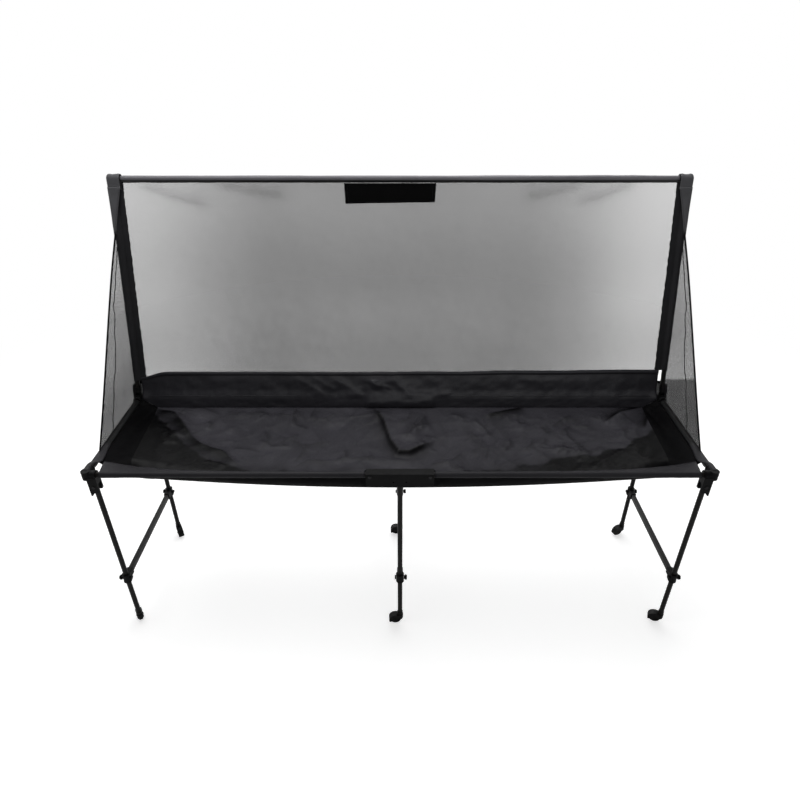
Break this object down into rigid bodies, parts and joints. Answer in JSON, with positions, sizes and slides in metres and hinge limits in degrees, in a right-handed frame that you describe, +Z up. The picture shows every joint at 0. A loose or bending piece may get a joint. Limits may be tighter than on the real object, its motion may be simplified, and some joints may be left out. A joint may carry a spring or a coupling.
{
  "type": "folding ball catch net",
  "caption": "Wide cloth ball tray on castered folding legs, with a leaning net mast behind it, side nets and a black round-tube frame.",
  "frame": {"origin": "on the floor, under the middle of the bounding box", "axes": "+X to the right along the tray, front faces -Y, +Z up"},
  "size_m": [1.9, 0.6596, 1.394],
  "materials": {
    "painted_tube": "satin black paint",
    "moulded_plastic": "moulded, fine grain",
    "caster_plastic": "moulded",
    "pin_steel": "zinc plated",
    "tray_cloth": "coated woven cloth",
    "band_cloth": "coated woven cloth",
    "label_cloth": "flat woven tape",
    "mesh": "fine knitted mesh",
    "tyre": "smooth"
  },
  "bodies": {
    "frame": {"front_rim_tube_left": "painted_tube", "front_rim_tube_right": "painted_tube", "rear_rim_tube_left": "painted_tube", "rear_rim_tube_right": "painted_tube", "side_rim_tube_left": "painted_tube", "side_rim_tube_right": "painted_tube", "corner_front_left": "moulded_plastic", "corner_front_right": "moulded_plastic", "corner_rear_left": "moulded_plastic", "corner_rear_right": "moulded_plastic", "centre_hinge_front": "moulded_plastic", "centre_hinge_rear": "moulded_plastic", "hinge_pins": "pin_steel", "centre_leg_front": "painted_tube", "centre_leg_rear": "painted_tube", "centre_collars": "moulded_plastic", "centre_brace": "painted_tube", "tray_floor": "tray_cloth", "tray_front": "tray_cloth", "tray_back": "band_cloth", "tray_end_left": "tray_cloth", "tray_end_right": "tray_cloth", "side_net_left": "mesh", "side_net_right": "mesh"},
    "left_legs": {"leg_front_left": "painted_tube", "leg_rear_left": "painted_tube", "leg_knuckles_left": "moulded_plastic", "collars_left": "moulded_plastic", "brace_left": "painted_tube"},
    "right_legs": {"leg_front_right": "painted_tube", "leg_rear_right": "painted_tube", "leg_knuckles_right": "moulded_plastic", "collars_right": "moulded_plastic", "brace_right": "painted_tube"},
    "mast": {"post_left": "painted_tube", "post_right": "painted_tube", "post_knuckles": "moulded_plastic", "top_bar_left": "painted_tube", "top_bar_right": "painted_tube", "top_ferrule": "painted_tube", "top_elbows": "moulded_plastic", "post_sleeve_left": "band_cloth", "post_sleeve_right": "band_cloth", "top_hem": "tray_cloth", "back_net": "mesh", "back_band": "band_cloth", "label_patch": "label_cloth", "corner_caps": "tray_cloth"},
    "swivel_front_left": {"caster_front_left": "caster_plastic"},
    "roller_front_left": {"wheel_front_left": "tyre"},
    "swivel_front_centre": {"caster_front_centre": "caster_plastic"},
    "roller_front_centre": {"wheel_front_centre": "tyre"},
    "swivel_front_right": {"caster_front_right": "caster_plastic"},
    "roller_front_right": {"wheel_front_right": "tyre"},
    "swivel_rear_left": {"caster_rear_left": "caster_plastic"},
    "roller_rear_left": {"wheel_rear_left": "tyre"},
    "swivel_rear_centre": {"caster_rear_centre": "caster_plastic"},
    "roller_rear_centre": {"wheel_rear_centre": "tyre"},
    "swivel_rear_right": {"caster_rear_right": "caster_plastic"},
    "roller_rear_right": {"wheel_rear_right": "tyre"}
  },
  "joints": [
    {"name": "left_legs_fold", "type": "hinge", "parent": "frame", "child": "left_legs", "pos_m": [-0.919, -0.3142, 0.625], "axis": [0, -1, 0], "range_deg": [0, 82]},
    {"name": "right_legs_fold", "type": "hinge", "parent": "frame", "child": "right_legs", "pos_m": [0.919, -0.3142, 0.625], "axis": [0, 1, 0], "range_deg": [0, 82]},
    {"name": "mast_fold", "type": "hinge", "parent": "frame", "child": "mast", "pos_m": [0, 0.1258, 0.69], "axis": [1, 0, 0], "range_deg": [0, 104], "deforming": ["side_net_left", "side_net_right"]},
    {"name": "swivel_turn_front_left", "type": "hinge", "parent": "left_legs", "child": "swivel_front_left", "pos_m": [-0.919, -0.3142, 0.047], "axis": [0, 0, 1], "continuous": true},
    {"name": "wheel_roll_front_left", "type": "hinge", "parent": "swivel_front_left", "child": "roller_front_left", "pos_m": [-0.92748, -0.30063, 0.019], "axis": [-0.848, -0.5299, 0], "continuous": true},
    {"name": "swivel_turn_front_centre", "type": "hinge", "parent": "frame", "child": "swivel_front_centre", "pos_m": [0, -0.3142, 0.047], "axis": [0, 0, 1], "continuous": true},
    {"name": "wheel_roll_front_centre", "type": "hinge", "parent": "swivel_front_centre", "child": "roller_front_centre", "pos_m": [-0.01598, -0.31504, 0.019], "axis": [0.0523, -0.9986, 0], "continuous": true},
    {"name": "swivel_turn_front_right", "type": "hinge", "parent": "right_legs", "child": "swivel_front_right", "pos_m": [0.919, -0.3142, 0.047], "axis": [0, 0, 1], "continuous": true},
    {"name": "wheel_roll_front_right", "type": "hinge", "parent": "swivel_front_right", "child": "roller_front_right", "pos_m": [0.90416, -0.30821, 0.019], "axis": [-0.3746, -0.9272, 0], "continuous": true},
    {"name": "swivel_turn_rear_left", "type": "hinge", "parent": "left_legs", "child": "swivel_rear_left", "pos_m": [-0.919, 0.1258, 0.047], "axis": [0, 0, 1], "continuous": true},
    {"name": "wheel_roll_rear_left", "type": "hinge", "parent": "swivel_rear_left", "child": "roller_rear_left", "pos_m": [-0.911, 0.11194, 0.019], "axis": [0.866, 0.5, 0], "continuous": true},
    {"name": "swivel_turn_rear_centre", "type": "hinge", "parent": "frame", "child": "swivel_rear_centre", "pos_m": [0, 0.1258, 0.047], "axis": [0, 0, 1], "continuous": true},
    {"name": "wheel_roll_rear_centre", "type": "hinge", "parent": "swivel_rear_centre", "child": "roller_rear_centre", "pos_m": [-0.016, 0.1258, 0.019], "axis": [0, -1, 0], "continuous": true},
    {"name": "swivel_turn_rear_right", "type": "hinge", "parent": "right_legs", "child": "swivel_rear_right", "pos_m": [0.919, 0.1258, 0.047], "axis": [0, 0, 1], "continuous": true},
    {"name": "wheel_roll_rear_right", "type": "hinge", "parent": "swivel_rear_right", "child": "roller_rear_right", "pos_m": [0.9045, 0.11904, 0.019], "axis": [0.4226, -0.9063, 0], "continuous": true}
  ]
}
